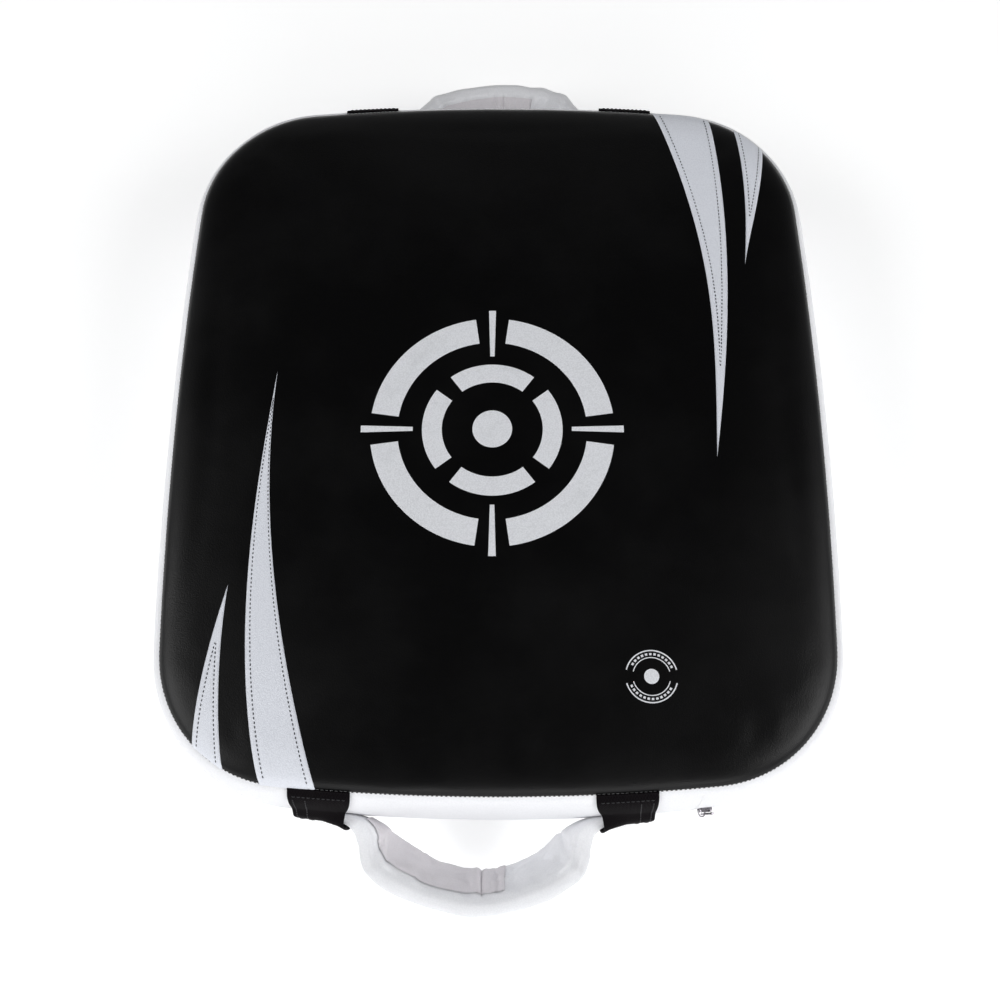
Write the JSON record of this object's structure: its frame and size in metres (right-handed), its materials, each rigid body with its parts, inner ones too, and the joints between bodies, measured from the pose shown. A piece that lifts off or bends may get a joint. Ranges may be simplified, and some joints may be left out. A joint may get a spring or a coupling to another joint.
{
  "type": "kick shield",
  "caption": "Thick rounded-square padded kick shield with a black strike face, white swollen side wall, two padded hand loops and a zipped side.",
  "frame": {"origin": "centre of the overall box in plan, at the underside of the back panel", "axes": "+Z out of the strike face, +Y along the long way towards the top hand loop, +X to the right, towards the zipped side"},
  "size_m": [0.4502, 0.6252, 0.1138],
  "materials": {
    "black_synthetic_leather": "low-sheen fine-grained synthetic leather",
    "white_synthetic_leather": "satin fine-grained synthetic leather",
    "claw_leather": "satin silver-white synthetic leather with black topstitching",
    "liner_leather": "soft matt synthetic leather",
    "black_webbing": "matt woven polyester webbing",
    "zip_tape": "matt woven tape",
    "zip_coil": "moulded nylon",
    "zip_metal": "grey plated zinc alloy, worn",
    "strike_foam": "closed-cell foam, matt",
    "core_foam": "open-cell foam, matt",
    "grip_foam": "soft foam, matt"
  },
  "bodies": {
    "shield": {"back_panel": "black_synthetic_leather", "bottom_handle_left_patch": "black_webbing", "bottom_handle_left_root_tab": "black_webbing", "bottom_handle_right_patch": "black_webbing", "bottom_handle_right_root_tab": "black_webbing", "claw_lower_long": "claw_leather", "claw_lower_short": "claw_leather", "claw_upper_long": "claw_leather", "claw_upper_short": "claw_leather", "core_foam_front": "core_foam", "core_foam_rear": "core_foam", "front_panel": "black_synthetic_leather", "main_gusset_panel": "white_synthetic_leather", "rear_foam": "core_foam", "strike_foam": "strike_foam", "top_handle_left_patch": "black_webbing", "top_handle_left_root_tab": "black_webbing", "top_handle_right_patch": "black_webbing", "top_handle_right_root_tab": "black_webbing", "zip_end_stop": "zip_metal", "zip_front_coil": "zip_coil", "zip_front_tape": "zip_tape", "zip_gusset_front_strip": "white_synthetic_leather", "zip_gusset_rear_strip": "white_synthetic_leather", "zip_rear_coil": "zip_coil", "zip_rear_tape": "zip_tape"},
    "top_handle_loop": {"top_handle_sleeve": "white_synthetic_leather", "top_handle_webbing": "black_webbing", "top_handle_outer_foam": "grip_foam", "top_handle_inner_foam": "grip_foam", "top_handle_grip_liner": "liner_leather"},
    "bottom_handle_loop": {"bottom_handle_sleeve": "white_synthetic_leather", "bottom_handle_webbing": "black_webbing", "bottom_handle_outer_foam": "grip_foam", "bottom_handle_inner_foam": "grip_foam", "bottom_handle_grip_liner": "liner_leather"},
    "slider": {"zip_slider": "zip_metal"},
    "pull_tab": {"zip_pull_tab": "zip_metal"}
  },
  "joints": [
    {"name": "bottom_handle_swing", "type": "hinge", "parent": "shield", "child": "bottom_handle_loop", "pos_m": [-0.015, -0.2545, 0.056], "axis": [1, 0, 0], "range_deg": [-44, 12], "stiffness_Nm_per_rad": 0.5},
    {"name": "top_handle_swing", "type": "hinge", "parent": "shield", "child": "top_handle_loop", "pos_m": [0, 0.2545, 0.056], "axis": [1, 0, 0], "range_deg": [-6, 52], "stiffness_Nm_per_rad": 0.5},
    {"name": "zip_slider_corner_run", "type": "hinge", "parent": "shield", "child": "slider", "pos_m": [0.12513, -0.15275, 0.056], "axis": [0, 0, 1], "range_deg": [0, 82]},
    {"name": "zip_pull_swing", "type": "hinge", "parent": "slider", "child": "pull_tab", "pos_m": [0.12955, -0.25217, 0.056], "axis": [0, 0, 1], "range_deg": [-160, 0]}
  ]
}
